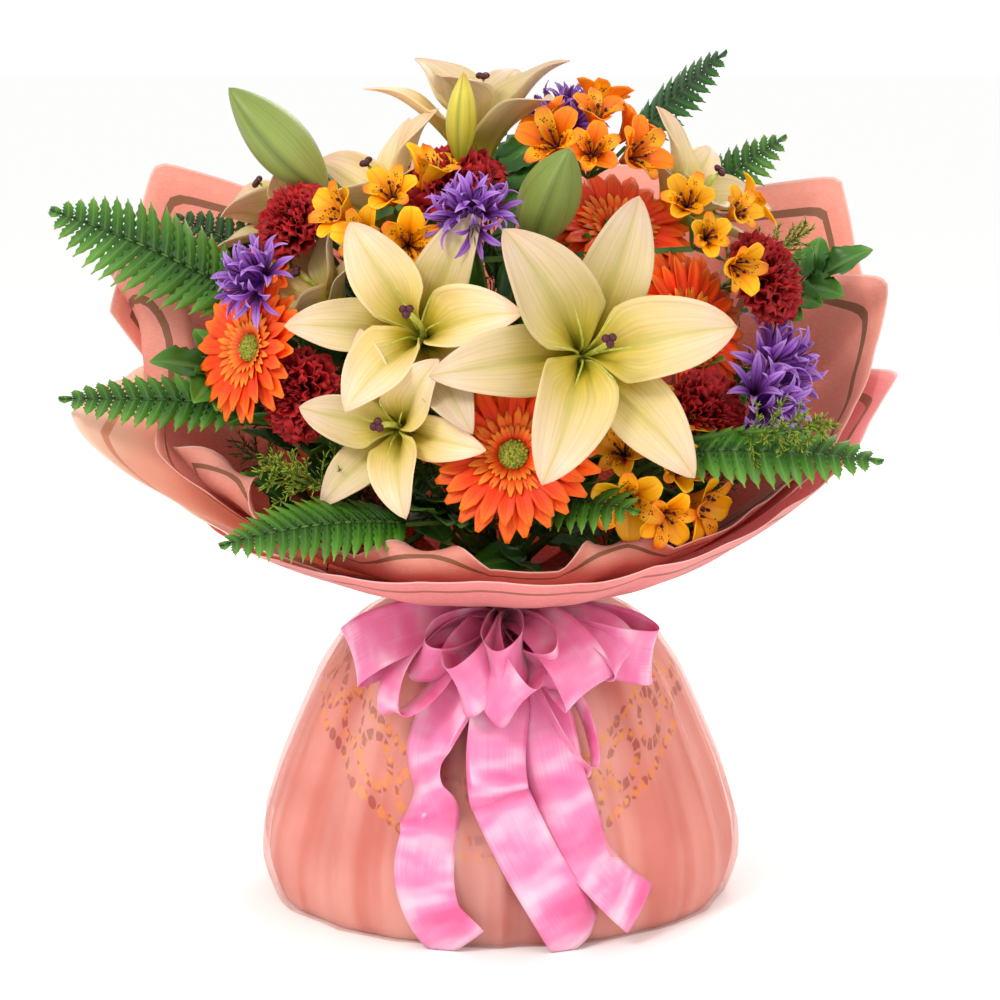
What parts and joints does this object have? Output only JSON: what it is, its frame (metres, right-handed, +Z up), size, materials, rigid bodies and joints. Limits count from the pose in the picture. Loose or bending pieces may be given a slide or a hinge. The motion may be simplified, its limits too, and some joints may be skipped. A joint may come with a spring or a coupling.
{
  "type": "mixed flower bouquet",
  "caption": "Mixed cut-flower bouquet with ferns, tied at the neck in a translucent collar and flared skirt wrap with a ribbon bow; stands on its own as a gift or table display.",
  "frame": {"origin": "centre of the middle stem's cut end, on the surface that the bouquet stands on", "axes": "+Z up along the bouquet's axis through the tie, -Y towards the front that the blooms and the bow face, +X to the right as seen from the front"},
  "size_m": [0.4905, 0.3839, 0.5062],
  "materials": {
    "wrap": "translucent salmon non-woven wrapping sheet with fine fibres and a thin brown-gold border line, soft and matte",
    "lining": "translucent peach non-woven sheet with an orange-gold dotted band, matte",
    "twine": "pale natural twine, matte",
    "ribbon": "bubblegum-pink satin ribbon with a soft sheen",
    "lily": "pale cream-yellow petals, waxy and slightly translucent, deeper yellow in the throat",
    "gerbera": "vivid orange-red strap petals with lighter tips, satin",
    "carnation": "deep crimson frilled petals, soft matte",
    "bud": "ribbed green and cream flower bud, waxy",
    "alstroemeria": "golden-yellow petals with fine red-brown flecks, satin",
    "agapanthus": "violet petals with a darker middle line, satin",
    "fern": "fresh mid-green fern leaflets, semi-matte",
    "leaf": "mid-green broad leaves with paler veins, semi-matte",
    "filler": "yellow-green fine needles, matte",
    "stem": "fresh green flower stems, satin"
  },
  "bodies": {
    "root": {"skirt_outer": "wrap", "collar_inner": "wrap", "collar_left": "wrap", "collar_right": "wrap", "collar_back": "wrap", "collar_flap": "wrap", "collar_front": "wrap", "skirt_lining": "lining", "binding": "twine", "ribbon_bow": "ribbon", "lily_front": "lily", "lily_centre": "lily", "lily_low": "lily", "lily_top": "lily", "lily_top_left": "lily", "lily_left": "lily", "lily_far_left": "lily", "lily_right": "lily", "gerbera_front": "gerbera", "gerbera_left": "gerbera", "gerbera_top": "gerbera", "gerbera_right": "gerbera", "gerbera_far_left": "gerbera", "carnation_top": "carnation", "carnation_left": "carnation", "carnation_low_left": "carnation", "carnation_right": "carnation", "carnation_low_right": "carnation", "bud_left": "bud", "bud_right": "bud", "bud_top": "bud", "alstroemeria_left": "alstroemeria", "alstroemeria_top": "alstroemeria", "alstroemeria_right": "alstroemeria", "alstroemeria_front": "alstroemeria", "agapanthus_top": "agapanthus", "agapanthus_left": "agapanthus", "agapanthus_right": "agapanthus", "agapanthus_low_right": "agapanthus", "agapanthus_back": "agapanthus", "fern_left": "fern", "fern_upper_left": "fern", "fern_lower_left": "fern", "fern_front_left": "fern", "fern_front": "fern", "fern_front_right": "fern", "fern_upper_right": "fern", "fern_top_right": "fern", "leaves_left": "leaf", "leaves_right": "leaf", "leaves_back": "leaf", "leaves_low_left": "leaf", "leaves_low_right": "leaf", "leaves_middle": "leaf", "filler_left": "filler", "filler_right": "filler", "filler_low_right": "filler", "filler_top_left": "filler", "stems": "stem"}
  },
  "joints": []
}
